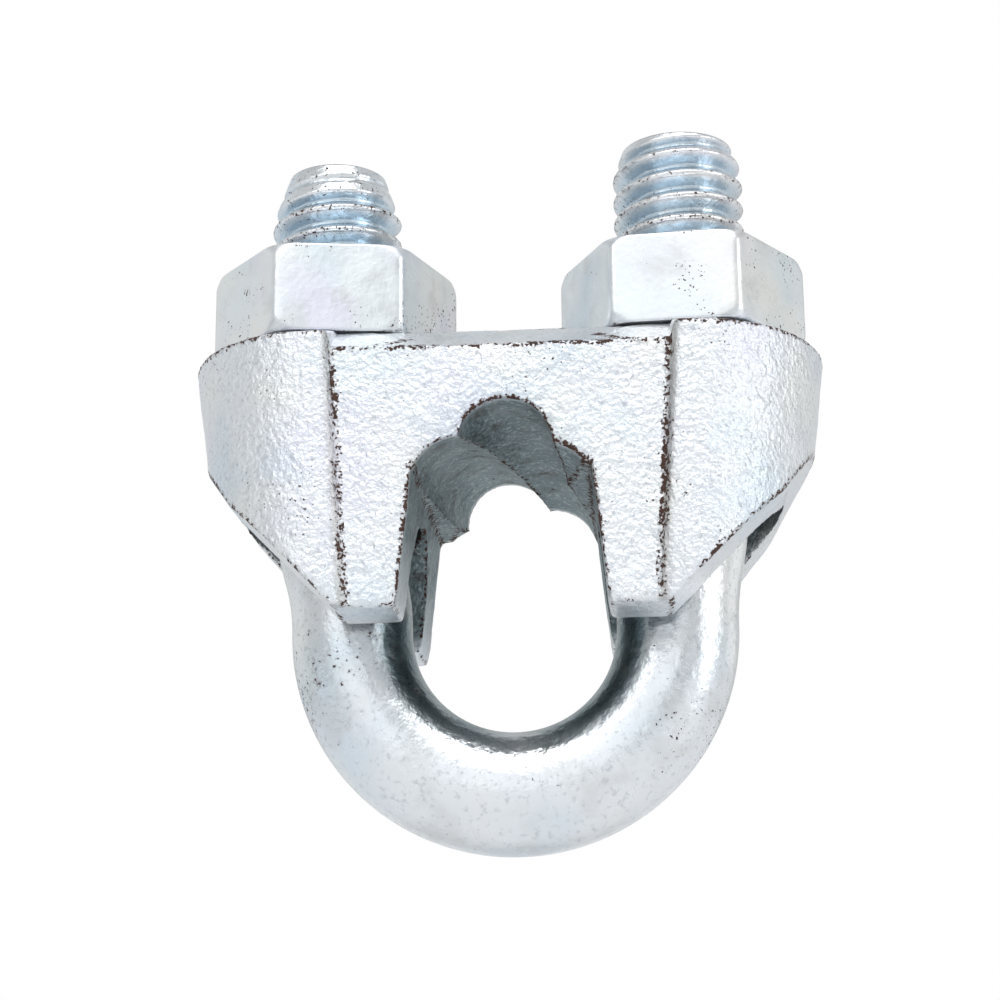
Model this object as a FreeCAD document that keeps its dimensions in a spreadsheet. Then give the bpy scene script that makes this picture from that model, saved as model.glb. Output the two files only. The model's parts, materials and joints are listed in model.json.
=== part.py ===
import FreeCAD, Part

import math
import os

import Sketcher

# A wire rope clip: a cast saddle, a U-bolt and two hex nuts, all in millimetres.
# X runs across the two legs, Y along the rope, Z up towards the threaded ends.
# The origin is the middle of the rope where it lies in the saddle.

doc = FreeCAD.newDocument("wire_rope_clip")
sheet = doc.addObject("Spreadsheet::Sheet", "Sizes")

SIZES = [
    # the U-bolt
    ("leg_spacing", 20.8, "between the two thread axes"),
    ("bar_size", 7.0, "diameter of the plain bar"),
    ("bend_radius", 9.4, "of the bar's centre line in the bend"),
    ("bend_drop", 6.3, "from the rope's middle down to the bend's centre"),
    ("bend_shift", 0.15, "how far the bend sits off the middle"),
    ("left_leg_height", 22.0, "from the rope's middle to the left end"),
    ("right_leg_height", 23.1, "from the rope's middle to the right end"),
    ("left_point_length", 2.8, "tapered tip of the left leg"),
    ("left_point_size", 5.9, "diameter of the left tip"),
    ("right_point_length", 1.5, "tapered tip of the right leg"),
    ("right_point_size", 6.7, "diameter of the right tip"),
    # the thread, 5/16 inch, 18 to the inch, right hand
    ("thread_size", 7.84, "over the crests"),
    ("thread_core", 6.2, "across the roots"),
    ("thread_pitch", 1.4111, "from crest to crest"),
    ("thread_below_seat", 8.6, "length of thread under the nut seats"),
    ("thread_gap", 0.1, "play between the nut's flanks and the bolt's"),
    ("root_gap", 0.15, "from the bolt's crests out to the nut's roots"),
    # the nuts
    ("nut_flats", 12.7, "across flats"),
    ("nut_height", 5.34, "from the seat to the top"),
    ("nut_face_size", 13.9, "diameter of the round face at each end"),
    ("nut_bevel", 1.6, "rise of the corner bevel for each mm outwards"),
    ("nut_bore", 6.56, "over the nut's own thread crests"),
    ("nut_lead_in", 0.5, "countersink at each end of the bore"),
    ("left_nut_turn", 8.9, "degrees that the left nut is turned"),
    ("right_nut_turn", -5.0, "degrees that the right nut is turned"),
    # the saddle
    ("seat_height", 10.2, "from the rope's middle up to the nut seats"),
    ("saddle_depth", 18.2, "along the rope, between the two flat panels"),
    ("boss_reach", 8.2, "from a leg's axis to the outer side, at the top"),
    ("boss_depth", 9.9, "from a leg's axis to the front, at the top"),
    ("boss_foot_reach", 6.15, "from a leg's axis to the outer side, at the feet"),
    ("boss_foot_depth", 9.7, "from a leg's axis to the front, at the feet"),
    ("boss_edge_drop", 1.2, "from the seats down to the bosses' outer edge"),
    ("boss_edge_width", 1.9, "of the bevel at a boss's outer side"),
    ("seat_extra_depth", 0.8, "by which a boss's level top passes the flat top"),
    ("panel_edge_drop", 2.05, "from the seats down to the panel's top edge"),
    ("top_flat_depth", 11.4, "width of the level top between the bevels"),
    ("panel_top_inset", 0.85, "from a leg's axis in to the panel's side, at the top"),
    ("panel_foot_inset", 1.97, "from a leg's axis in to the panel's side, at the feet"),
    ("foot_drop", 6.7, "from the rope's middle down to the prongs' feet"),
    ("foot_inset", 1.25, "from a leg's axis in to the prong's outer corner"),
    ("corner_reach", 5.1, "from a leg's axis out to the wing's lower corner"),
    ("corner_drop", 0.1, "from the rope's middle down to that corner"),
    ("side_reach", 7.6, "from a leg's axis out to where the side turns under"),
    ("side_rise", 3.6, "from the rope's middle up to that turn"),
    ("plate_height", 4.6, "thickness of the top plate over the leg pockets"),
    ("hole_gap", 0.9, "by which each hole is wider than the thread"),
    ("pocket_gap", 0.5, "by which each pocket is wider than the thread"),
    ("pocket_inner_gap", 0.45, "between the bend's bar and a pocket's inner end"),
    ("pocket_outer_gap", 1.48, "between the thread and a pocket's outer end"),
    ("window_drop", 0.2, "from the rope's middle down to the window's top"),
    # the rope channel
    ("channel_half_top", 4.85, "half the channel's width at the shoulders"),
    ("channel_half_foot", 5.67, "half the channel's width at the feet"),
    ("channel_rise", 1.2, "from the rope's middle up to the shoulders"),
    ("lobe_offset", 2.35, "from the rope's middle to a strand's middle"),
    ("lobe_radius", 2.55, "of the hollow that takes one strand"),
    ("lobe_turn", 74.0, "degrees that the strands turn along the saddle"),
    ("lobe_start", 4.0, "degrees of the top strand at the front"),
]
for row, (name, value, meaning) in enumerate(SIZES, start=1):
    sheet.set(f"A{row}", name)
    sheet.set(f"B{row}", repr(float(value)))
    sheet.set(f"C{row}", meaning)
    sheet.setAlias(f"B{row}", name)
doc.recompute()

X_AXIS = FreeCAD.Vector(1, 0, 0)
Y_AXIS = FreeCAD.Vector(0, 1, 0)
Z_AXIS = FreeCAD.Vector(0, 0, 1)
LEFT, RIGHT = -1, 1
PAST = 3.0  # how far a cutting shape runs past what it cuts
LAP = 1.0  # how far one cutting shape runs into the next
SLIVER = 0.1  # how far a thread's cutting shape runs past the metal


def size(name):
    """The value of one size in the sheet."""
    return float(sheet.get(name))


def bind(obj, **formulas):
    """Bind an object's properties to the sheet; $ stands for the sheet's name."""
    for prop, formula in formulas.items():
        path = prop.replace("__", ".")
        obj.setExpression(path, formula.replace("$", "Sizes."))
    return obj


def place(obj, x="0", y="0", z="0", turn=None):
    """Put an object at a place given by formulas, turned by a fixed rotation."""
    if turn is not None:
        obj.Placement = FreeCAD.Placement(FreeCAD.Vector(0, 0, 0), turn)
    return bind(
        obj,
        Placement__Base__x=x,
        Placement__Base__y=y,
        Placement__Base__z=z,
    )


def make(kind, name, **formulas):
    """A new object with its sizes bound to the sheet."""
    return bind(doc.addObject(kind, name), **formulas)


def fuse(name, shapes):
    obj = doc.addObject("Part::MultiFuse", name)
    obj.Shapes = shapes
    return obj


def cut(name, base, tool):
    obj = doc.addObject("Part::Cut", name)
    obj.Base = base
    obj.Tool = tool
    return obj


def side_name(side):
    return "left" if side == LEFT else "right"


def signed(side, formula):
    """The formula on one side of the middle."""
    return f"({formula})" if side == RIGHT else f"-({formula})"


def about(axis, degrees):
    return FreeCAD.Rotation(axis, degrees)


def wedge(name, bottom, top, low, high, front, back, below=0, above=0):
    """A prism that lies symmetric about X = 0, with half its width at two heights.

    Its two sides run on past those heights by the lengths below and above.
    """
    slope = f"((({top}) - ({bottom})) / (({high}) - ({low})))"
    first = f"({bottom}) - {below} * {slope}"
    last = f"({top}) + {above} * {slope}"
    obj = make(
        "Part::Wedge",
        name,
        Xmin=f"-({first})",
        Xmax=first,
        X2min=f"-({last})",
        X2max=last,
        Ymin=f"({low}) - {below}",
        Ymax=f"({high}) + {above}",
        Zmin=f"-({back})",
        Zmax=f"-({front})",
        Z2min=f"-({back})",
        Z2max=f"-({front})",
    )
    obj.Placement = FreeCAD.Placement(FreeCAD.Vector(0, 0, 0), about(X_AXIS, 90))
    return obj


def thread_profile(name, inner, outer, inner_half, outer_half, x, z):
    """The section of one thread groove, drawn in the XZ plane beside the axis."""
    sketch = doc.addObject("Sketcher::SketchObject", name)
    # a rough four-sided start, which the constraints then bring to size
    corners = [(3.0, -0.3), (4.0, -0.5), (4.0, 0.5), (3.0, 0.3)]
    points = [FreeCAD.Vector(a, b, 0) for a, b in corners]
    for i in range(4):
        sketch.addGeometry(Part.LineSegment(points[i], points[(i + 1) % 4]), False)
    for i in range(4):
        sketch.addConstraint(Sketcher.Constraint("Coincident", i, 2, (i + 1) % 4, 1))
    sketch.addConstraint(Sketcher.Constraint("Symmetric", 1, 1, 1, 2, -1))
    sketch.addConstraint(Sketcher.Constraint("Symmetric", 3, 1, 3, 2, -1))
    lengths = [
        ("inner", Sketcher.Constraint("DistanceX", -1, 1, 0, 1, 3.0), inner),
        ("outer", Sketcher.Constraint("DistanceX", -1, 1, 1, 1, 4.0), outer),
        ("inner_width", Sketcher.Constraint("DistanceY", 0, 1, 3, 1, 0.6), inner_half),
        ("outer_width", Sketcher.Constraint("DistanceY", 1, 1, 1, 2, 1.0), outer_half),
    ]
    for label, constraint, formula in lengths:
        index = sketch.addConstraint(constraint)
        sketch.renameConstraint(index, label)
        text = formula if label in ("inner", "outer") else f"2 * ({formula})"
        sketch.setExpression(f"Constraints.{label}", text.replace("$", "Sizes."))
    return place(sketch, x=x, z=z, turn=about(X_AXIS, 90))


def thread_groove(name, profile, x, z, height):
    """The profile swept along a right-hand helix about a vertical axis."""
    helix = make("Part::Helix", name + "_path", Pitch="$thread_pitch", Height=height)
    bind(helix, Radius="$thread_core / 2")
    helix.Style = "New style"
    helix.SegmentLength = 1
    place(helix, x=x, z=z)
    doc.recompute()
    sweep = doc.addObject("Part::Sweep", name)
    sweep.Sections = [profile]
    edges = [f"Edge{i + 1}" for i in range(len(helix.Shape.Edges))]
    sweep.Spine = (helix, edges)
    sweep.Solid = True
    sweep.Frenet = True
    return sweep


# ---------------------------------------------------------------- the U-bolt
# The plain bar is a half ring; each leg steps outwards in an S of two equal
# arcs up to the straight threaded part, which stands on the nut's axis.

BAR = "$bar_size / 2"
THREAD_FOOT = "($seat_height - $thread_below_seat)"
PITCH_RADIUS = "($thread_size + $thread_core) / 4"
SLOPE = "tan(30)"


def leg_parts(side):
    name = side_name(side)
    axis = signed(side, "$leg_spacing / 2")
    step = f"($leg_spacing / 2 - $bend_radius - ({side}) * $bend_shift)"
    run = f"({THREAD_FOOT} + $bend_drop)"
    radius = f"(({run} ^ 2 + {step} ^ 2) / (4 * {step}))"
    angle = f"2 * atan({step} / {run})"
    flip = about(Z_AXIS, 0 if side == LEFT else 180)
    parts = []

    upper = make(
        "Part::Torus", f"{name}_step_upper", Radius1=radius, Radius2=BAR, Angle3=angle
    )
    centre = f"$leg_spacing / 2 - {radius}"
    turn = flip * about(X_AXIS, 90) * about(Z_AXIS, 180)
    parts.append(place(upper, x=signed(side, centre), z=THREAD_FOOT, turn=turn))

    lower = make(
        "Part::Torus", f"{name}_step_lower", Radius1=radius, Radius2=BAR, Angle3=angle
    )
    centre = f"$leg_spacing / 2 - {step} + {radius}"
    turn = flip * about(X_AXIS, 90)
    parts.append(place(lower, x=signed(side, centre), z="-$bend_drop", turn=turn))

    # the threaded blank: a short lead-in cone, a cylinder and a tapered tip
    lead = make(
        "Part::Cone",
        f"{name}_lead_in",
        Radius1=BAR,
        Radius2="$thread_size / 2",
        Height="$thread_size - $bar_size",
    )
    parts.append(place(lead, x=axis, z=THREAD_FOOT))
    blank = make(
        "Part::Cylinder",
        f"{name}_blank",
        Radius="$thread_size / 2",
        Height=f"${name}_leg_height - ${name}_point_length - {THREAD_FOOT}"
        " - ($thread_size - $bar_size)",
    )
    foot = f"{THREAD_FOOT} + $thread_size - $bar_size"
    parts.append(place(blank, x=axis, z=foot))
    tip = make(
        "Part::Cone",
        f"{name}_tip",
        Radius1="$thread_size / 2",
        Radius2=f"${name}_point_size / 2",
        Height=f"${name}_point_length",
    )
    foot = f"${name}_leg_height - ${name}_point_length"
    parts.append(place(tip, x=axis, z=foot))
    return parts


bend = make(
    "Part::Torus", "bend", Radius1="$bend_radius", Radius2=BAR, Angle3="180"
)
place(bend, x="$bend_shift", z="-$bend_drop", turn=about(X_AXIS, -90))
u_blank = fuse("u_bolt_blank", [bend] + leg_parts(LEFT) + leg_parts(RIGHT))

threads = []
u_bolt = u_blank
for side in (LEFT, RIGHT):
    name = side_name(side)
    axis = signed(side, "$leg_spacing / 2")
    quarter = "$thread_pitch / 4"
    profile = thread_profile(
        f"{name}_bolt_profile",
        "$thread_core / 2",
        f"$thread_size / 2 + {SLIVER}",
        f"{quarter} - ({PITCH_RADIUS} - $thread_core / 2) * {SLOPE}",
        f"{quarter} + ($thread_size / 2 + {SLIVER} - {PITCH_RADIUS}) * {SLOPE}",
        axis,
        f"{THREAD_FOOT} + $thread_pitch",
    )
    groove = thread_groove(
        f"{name}_bolt_thread",
        profile,
        axis,
        f"{THREAD_FOOT} + $thread_pitch",
        f"${name}_leg_height - {THREAD_FOOT}",
    )
    label = "u_bolt" if side == RIGHT else "u_bolt_left_cut"
    whole = u_bolt
    u_bolt = cut(label, whole, groove)
    threads.append((whole, u_bolt, groove, 0))
u_bolt.Label = "u_bolt"


# ------------------------------------------------------------------ the nuts
# The nut's groove follows the bolt's crest: it starts half a pitch above the
# bolt's groove, so the two threads interleave with the same play all round.


def nut(side):
    name = side_name(side)
    axis = signed(side, "$leg_spacing / 2")
    turn = f"${name}_nut_turn"
    hexagon = make(
        "Part::Prism",
        f"{name}_hexagon",
        Circumradius="$nut_flats / sqrt(3)",
        Height="$nut_height",
    )
    hexagon.Polygon = 6
    # the turn needs an upright axis before the sheet can give its angle
    hexagon.Placement = FreeCAD.Placement(FreeCAD.Vector(), about(Z_AXIS, 1))
    bind(hexagon, Placement__Rotation__Angle=turn)
    place(hexagon, x=axis, z="$seat_height")

    # a barrel with a cone at each end bevels the six corners
    outer = f"($nut_flats / sqrt(3) + {2 * SLIVER})"
    rise = f"(({outer} - $nut_face_size / 2) * $nut_bevel)"
    low = make(
        "Part::Cone",
        f"{name}_bevel_low",
        Radius1="$nut_face_size / 2",
        Radius2=outer,
        Height=rise,
    )
    place(low, x=axis, z="$seat_height")
    middle = make(
        "Part::Cylinder",
        f"{name}_bevel_middle",
        Radius=outer,
        Height=f"$nut_height - 2 * {rise}",
    )
    place(middle, x=axis, z=f"$seat_height + {rise}")
    high = make(
        "Part::Cone",
        f"{name}_bevel_high",
        Radius1=outer,
        Radius2="$nut_face_size / 2",
        Height=rise,
    )
    place(high, x=axis, z=f"$seat_height + $nut_height - {rise}")
    barrel = fuse(f"{name}_barrel", [low, middle, high])
    body = doc.addObject("Part::Common", f"{name}_nut_body")
    body.Base = hexagon
    body.Tool = barrel

    # the bore with a countersink at each end
    bore = make(
        "Part::Cylinder",
        f"{name}_bore",
        Radius="$nut_bore / 2",
        Height="3 * $nut_height",
    )
    place(bore, x=axis, z="$seat_height - $nut_height")
    root = "($thread_size / 2 + $root_gap)"
    mouth = f"{root} + {SLIVER}"
    throat = f"{root} - $nut_lead_in - {2 * SLIVER}"
    depth = f"$nut_lead_in + {2 * SLIVER}"
    sinks = []
    for end, first, last, foot in (
        ("low", mouth, throat, f"$seat_height - {SLIVER}"),
        ("high", throat, mouth, f"$seat_height + $nut_height - ({depth})"),
    ):
        sink = make(
            "Part::Cone",
            f"{name}_sink_{end}",
            Radius1=first,
            Radius2=last,
            Height=f"{depth} + {SLIVER}",
        )
        sinks.append(place(sink, x=axis, z=foot))
    wide = "($thread_pitch / 4 + $thread_gap / cos(30))"
    inner = f"$nut_bore / 2 - {SLIVER}"
    # half a pitch above the bolt's last groove that starts under the seat
    start = (
        f"{THREAD_FOOT} + (floor($thread_below_seat / $thread_pitch) - 0.5)"
        " * $thread_pitch"
    )
    profile = thread_profile(
        f"{name}_nut_profile",
        inner,
        root,
        f"{wide} + ({PITCH_RADIUS} - ({inner})) * {SLOPE}",
        f"{wide} - ({root} - {PITCH_RADIUS}) * {SLOPE}",
        axis,
        start,
    )
    groove = thread_groove(
        f"{name}_nut_thread",
        profile,
        axis,
        start,
        "$nut_height + 3 * $thread_pitch",
    )
    tapped = fuse(f"{name}_tapped", [bore, groove])
    opened = body
    for sink in sinks:
        opened = cut(f"{sink.Name}_cut", opened, sink)
    obj = cut(f"nut_{name}", opened, tapped)
    obj.Label = f"nut_{name}"
    smooth = math.pi * size("nut_bore") ** 2 / 4 * size("nut_height")
    threads.append((body, obj, groove, smooth))
    return obj


nuts = [nut(LEFT), nut(RIGHT)]


# ---------------------------------------------------------------- the saddle
FRONT = "-$saddle_depth / 2"
BACK = "$saddle_depth / 2"
FOOT = "-$foot_drop"
EDGE = "($seat_height - $boss_edge_drop)"


def ellipse(name, reach, depth, x, z):
    """A flat ellipse whose longer half lies along Y."""
    obj = make("Part::Ellipse", name, MajorRadius=depth, MinorRadius=reach)
    return place(obj, x=x, z=z, turn=about(Z_AXIS, 90))


def boss(side):
    """One end of the saddle: an oval column with draft and a bevelled top."""
    name = side_name(side)
    axis = signed(side, "$leg_spacing / 2")
    seat_reach = "$boss_reach - $boss_edge_width"
    seat_depth = "$top_flat_depth / 2 + $seat_extra_depth"
    rings = [
        ellipse(f"{name}_boss_foot", "$boss_foot_reach", "$boss_foot_depth", axis, FOOT),
        ellipse(f"{name}_boss_edge", "$boss_reach", "$boss_depth", axis, EDGE),
        ellipse(f"{name}_boss_seat", seat_reach, seat_depth, axis, "$seat_height"),
    ]
    solids = []
    for index, pair in enumerate(zip(rings, rings[1:])):
        loft = doc.addObject("Part::Loft", f"{name}_boss_{index}")
        loft.Sections = list(pair)
        loft.Solid = True
        loft.Ruled = True
        solids.append(loft)
    return solids


core = make(
    "Part::Box",
    "core",
    Length="$leg_spacing",
    Width="$saddle_depth",
    Height="$seat_height - $panel_edge_drop + $foot_drop",
)
place(core, x="-$leg_spacing / 2", y=FRONT, z=FOOT)

# the level top between the two bosses, bevelled to the front and the back
crown = make(
    "Part::Wedge",
    "crown",
    Xmin=FRONT,
    Xmax=BACK,
    X2min="-$top_flat_depth / 2",
    X2max="$top_flat_depth / 2",
    Ymin="0",
    Ymax="$panel_edge_drop",
    Zmin="-$leg_spacing / 2",
    Zmax="$leg_spacing / 2",
    Z2min="-$leg_spacing / 2",
    Z2max="$leg_spacing / 2",
)
place(
    crown,
    z="$seat_height - $panel_edge_drop",
    turn=about(Z_AXIS, 90) * about(X_AXIS, 90),
)
# the outline seen along the rope: the sides turn under the bosses and then
# slant in to the feet of the prongs
AXIS = "$leg_spacing / 2"
OUTLINE_REACH = f"{AXIS} + $boss_reach + {LAP}"
OUTLINE_DEPTH = "2 * $boss_depth"
outline = []
for name, bottom, top, low, high, below in (
    ("feet", f"{AXIS} - $foot_inset", f"{AXIS} + $corner_reach", FOOT, "-$corner_drop", LAP),
    ("flanks", f"{AXIS} + $corner_reach", f"{AXIS} + $side_reach", "-$corner_drop", "$side_rise", 0),
    ("top", OUTLINE_REACH, OUTLINE_REACH, "$side_rise", f"$seat_height + {LAP}", 0),
):
    outline.append(
        wedge(
            f"outline_{name}",
            bottom,
            top,
            low,
            high,
            f"-{OUTLINE_DEPTH}",
            OUTLINE_DEPTH,
            below=below,
        )
    )
keep = fuse("outline", outline)
shapes = []
for solid in [core, crown] + boss(LEFT) + boss(RIGHT):
    common = doc.addObject("Part::Common", f"{solid.Name}_shaped")
    common.Base = solid
    common.Tool = keep
    shapes.append(common)
shaped = fuse("cast", shapes)

cutters = []

# the two flat panels, front and back, let in between the bosses
for name, front, back in (
    ("front_panel", f"{FRONT} - {PAST}", FRONT),
    ("back_panel", BACK, f"{BACK} + {PAST}"),
):
    cutters.append(
        wedge(
            name,
            f"{AXIS} - $panel_foot_inset",
            f"{AXIS} - $panel_top_inset",
            FOOT,
            "$seat_height",
            front,
            back,
            below=PAST,
            above=PAST,
        )
    )

# the rope channel, with a hollow for each strand of the rope
channel = wedge(
    "channel",
    "$channel_half_foot",
    "$channel_half_top",
    FOOT,
    "$channel_rise",
    f"{FRONT} - {PAST}",
    f"{BACK} + {PAST}",
    below=PAST,
)
cutters.append(channel)
per_mm = "($lobe_turn / $saddle_depth)"
for index in range(4):
    path = make(
        "Part::Helix",
        f"strand_path_{index}",
        Pitch=f"360 / {per_mm}",
        Height=f"$saddle_depth + 2 * {PAST}",
        Radius="$lobe_offset",
    )
    # the helix stands on its own Z axis, which is turned to run along +Y;
    # its start angle is measured from straight up towards +X
    first = f"$lobe_start - {PAST} * {per_mm} + {90 * (index - 2)}"
    start = size("lobe_start") - PAST * size("lobe_turn") / size("saddle_depth")
    start += 90 * (index - 2)
    turn = about(Y_AXIS, start - 90) * about(X_AXIS, -90)
    path.Placement = FreeCAD.Placement(FreeCAD.Vector(), turn)
    bind(path, Placement__Base__y=f"{FRONT} - {PAST}")
    strand = make("Part::Circle", f"strand_{index}", Radius="$lobe_radius")
    angle = math.radians(start)
    offset = size("lobe_offset")
    strand.Placement = FreeCAD.Placement(
        FreeCAD.Vector(
            offset * math.sin(angle),
            -size("saddle_depth") / 2 - PAST,
            offset * math.cos(angle),
        ),
        about(X_AXIS, -90),
    )
    bind(
        strand,
        Placement__Base__x=f"$lobe_offset * sin({first})",
        Placement__Base__y=f"{FRONT} - {PAST}",
        Placement__Base__z=f"$lobe_offset * cos({first})",
    )
    doc.recompute()
    hollow = doc.addObject("Part::Sweep", f"strand_hollow_{index}")
    hollow.Sections = [strand]
    edges = [f"Edge{i + 1}" for i in range(len(path.Shape.Edges))]
    hollow.Spine = (path, edges)
    hollow.Solid = True
    hollow.Frenet = True
    cutters.append(hollow)

# the bolt's way through: a round hole in the top plate over an oval pocket
# that is open below, and a window with an arched top into the channel
HALF = "($thread_size + $pocket_gap) / 2"
POCKET_ENDS = {
    "inner": f"($bend_radius - {BAR} - $pocket_inner_gap + {HALF})",
    "outer": f"({AXIS} + $thread_size / 2 + $pocket_outer_gap - {HALF})",
}
POCKET_FOOT = f"{FOOT} - {PAST}"
POCKET_HEIGHT = f"$seat_height - $plate_height + $foot_drop + {PAST}"
for side in (LEFT, RIGHT):
    name = side_name(side)
    hole = make(
        "Part::Cylinder",
        f"{name}_hole",
        Radius="($thread_size + $hole_gap) / 2",
        Height=f"$plate_height + {LAP} + {PAST}",
    )
    foot = f"$seat_height - $plate_height - {LAP}"
    cutters.append(place(hole, x=signed(side, AXIS), z=foot))
    for end, centre in POCKET_ENDS.items():
        rounding = make(
            "Part::Cylinder", f"{name}_pocket_{end}", Radius=HALF, Height=POCKET_HEIGHT
        )
        cutters.append(place(rounding, x=signed(side, centre), z=POCKET_FOOT))
    middle = make(
        "Part::Box",
        f"{name}_pocket_middle",
        Length=f"{POCKET_ENDS['outer']} - {POCKET_ENDS['inner']}",
        Width=f"2 * {HALF}",
        Height=POCKET_HEIGHT,
    )
    corner = POCKET_ENDS["inner"] if side == RIGHT else f"-{POCKET_ENDS['outer']}"
    cutters.append(place(middle, x=corner, y=f"-({HALF})", z=POCKET_FOOT))

arch = make("Part::Cylinder", "window_arch", Radius=HALF, Height=f"2 * {AXIS}")
place(arch, x=f"-{AXIS}", z=f"-$window_drop - {HALF}", turn=about(Y_AXIS, 90))
window = make(
    "Part::Box",
    "window",
    Length=f"2 * {AXIS}",
    Width=f"2 * {HALF}",
    Height=f"$foot_drop - $window_drop - {HALF} + {PAST}",
)
place(window, x=f"-{AXIS}", y=f"-{HALF}", z=POCKET_FOOT)
cutters += [arch, window]

saddle = cut("saddle", shaped, fuse("hollows", cutters))
saddle.Label = "saddle"

doc.recompute()

# ------------------------------------------------------- checks and the files
for obj in doc.Objects:
    if "Invalid" in obj.State or "Error" in obj.State:
        raise RuntimeError(f"{obj.Name} did not build: {obj.State}")
for before, after, groove, smooth in threads:
    taken = before.Shape.Volume - after.Shape.Volume - smooth
    if taken < 0.3 * groove.Shape.Volume:
        raise RuntimeError(f"{groove.Name} took only {taken:.1f} cubic millimetres")
pieces = [saddle, u_bolt] + nuts
for piece in pieces:
    shape = piece.Shape
    if shape.isNull() or not shape.isValid():
        raise RuntimeError(f"{piece.Label} has no valid shape")
    if len(shape.Solids) != 1:
        raise RuntimeError(f"{piece.Label} has {len(shape.Solids)} solids, not one")
    box = shape.BoundBox
    print(
        f"{piece.Label:10s} volume {shape.Volume:9.2f}  "
        f"x {box.XMin:7.2f} {box.XMax:7.2f}  y {box.YMin:7.2f} {box.YMax:7.2f}  "
        f"z {box.ZMin:7.2f} {box.ZMax:7.2f}"
    )

os.makedirs("parts", exist_ok=True)
for piece in pieces:
    piece.Shape.exportStep(f"parts/{piece.Label}.step")
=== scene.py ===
import json
import math

import bmesh
import bpy
import numpy as np
from mathutils import Matrix, Vector
from mathutils.kdtree import KDTree


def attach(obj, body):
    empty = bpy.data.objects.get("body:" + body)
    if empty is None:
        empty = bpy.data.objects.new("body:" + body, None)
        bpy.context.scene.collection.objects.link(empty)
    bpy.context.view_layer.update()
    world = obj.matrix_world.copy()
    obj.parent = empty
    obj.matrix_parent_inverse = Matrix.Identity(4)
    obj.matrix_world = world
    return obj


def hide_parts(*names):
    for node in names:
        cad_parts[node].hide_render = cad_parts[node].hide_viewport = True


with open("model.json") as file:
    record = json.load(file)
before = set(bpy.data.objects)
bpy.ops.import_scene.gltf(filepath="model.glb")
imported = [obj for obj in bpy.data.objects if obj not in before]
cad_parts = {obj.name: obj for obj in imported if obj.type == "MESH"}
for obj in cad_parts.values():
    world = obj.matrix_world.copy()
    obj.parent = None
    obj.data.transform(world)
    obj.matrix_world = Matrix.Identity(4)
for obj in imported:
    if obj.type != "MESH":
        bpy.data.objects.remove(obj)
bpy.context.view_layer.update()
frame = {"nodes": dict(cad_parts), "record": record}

MM = 0.001

# ------------------------------------------------------------------ sizes
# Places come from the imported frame; the sizes below are the bar's, the
# thread's and the nut's own, in metres. Degrees are turned to radians where
# they are used.
JOINTS = {j["name"]: j for j in frame["record"]["behaviour"]["joints"]}
LEFT_AXIS = JOINTS["nut_left_spin"]["pos_m"][0]
RIGHT_AXIS = JOINTS["nut_right_spin"]["pos_m"][0]
SEAT = JOINTS["nut_left_spin"]["pos_m"][2]

BAR_RADIUS = 3.5 * MM
BEND_RADIUS = 9.4 * MM
BEND_SHIFT = 0.15 * MM
BEND_DROP = 6.3 * MM
CREST = 3.92 * MM
CORE = 3.1 * MM
PITCH = 1.4111 * MM
THREAD_FOOT = SEAT - 8.6 * MM
FLANK = math.tan(math.radians(30))
PITCH_LINE = (CREST + CORE) / 2
CORE_HALF = PITCH / 4 - (PITCH_LINE - CORE) * FLANK
THREAD_REACH = 4.6 * MM
THREAD_HEART = 2.0 * MM
THREAD_ROUNDING = 0.3 * MM
THREAD_STEP = PITCH / 20

LEGS = {
    "left": {"axis": LEFT_AXIS, "top": 22.0 * MM, "point": 2.8 * MM, "end": 2.95 * MM},
    "right": {"axis": RIGHT_AXIS, "top": 23.1 * MM, "point": 1.5 * MM, "end": 3.35 * MM},
}

NUT_APOTHEM = 6.35 * MM
NUT_HEIGHT = 5.34 * MM
NUT_FACE = 6.95 * MM
NUT_BEVEL = 1.6
NUT_ROUNDING = 0.14 * MM
NUT_BLEND = 0.25 * MM
NUT_REACH = 4.3 * MM
NUT_BORE = 3.28 * MM
NUT_ROOT = 4.07 * MM
NUT_TURN = {"left": 8.9, "right": -5.0}
THREAD_PLAY = 0.1 * MM


# ------------------------------------------------------------------ meshes
def mesh_object(name, points, faces, material, smooth=True):
    """A new piece made from plain points and faces."""
    mesh = bpy.data.meshes.new(name)
    mesh.from_pydata([tuple(p) for p in points], [], faces)
    mesh.validate()
    mesh.materials.append(material)
    mesh.polygons.foreach_set("use_smooth", [smooth] * len(mesh.polygons))
    obj = bpy.data.objects.new(name, mesh)
    bpy.context.scene.collection.objects.link(obj)
    return obj


def ring_faces(rings, around, closed):
    """Quads between neighbouring rings of points."""
    faces = []
    last = rings if closed else rings - 1
    for i in range(last):
        a = i * around
        b = ((i + 1) % rings) * around
        for k in range(around):
            n = (k + 1) % around
            faces.append((a + k, a + n, b + n, b + k))
    return faces


def turn_outwards(obj):
    """Recalculates the normals of a closed mesh so that they point outwards."""
    work = bmesh.new()
    work.from_mesh(obj.data)
    bmesh.ops.recalc_face_normals(work, faces=work.faces)
    work.to_mesh(obj.data)
    work.free()
    obj.data.update()


def applied(obj, name):
    """The object's evaluated shape as a plain mesh, with its modifiers removed."""
    graph = bpy.context.evaluated_depsgraph_get()
    mesh = bpy.data.meshes.new_from_object(obj.evaluated_get(graph))
    mesh.name = name
    obj.modifiers.clear()
    obj.data = mesh
    return obj


def set_float(obj, name, values):
    """Stores one number per point, for the materials to read."""
    layer = obj.data.attributes.new(name, "FLOAT", "POINT")
    layer.data.foreach_set("value", np.asarray(values, dtype=np.float32))


def clipped(value):
    """The value, kept between 0 and 1."""
    return min(1.0, max(0.0, value))


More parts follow.
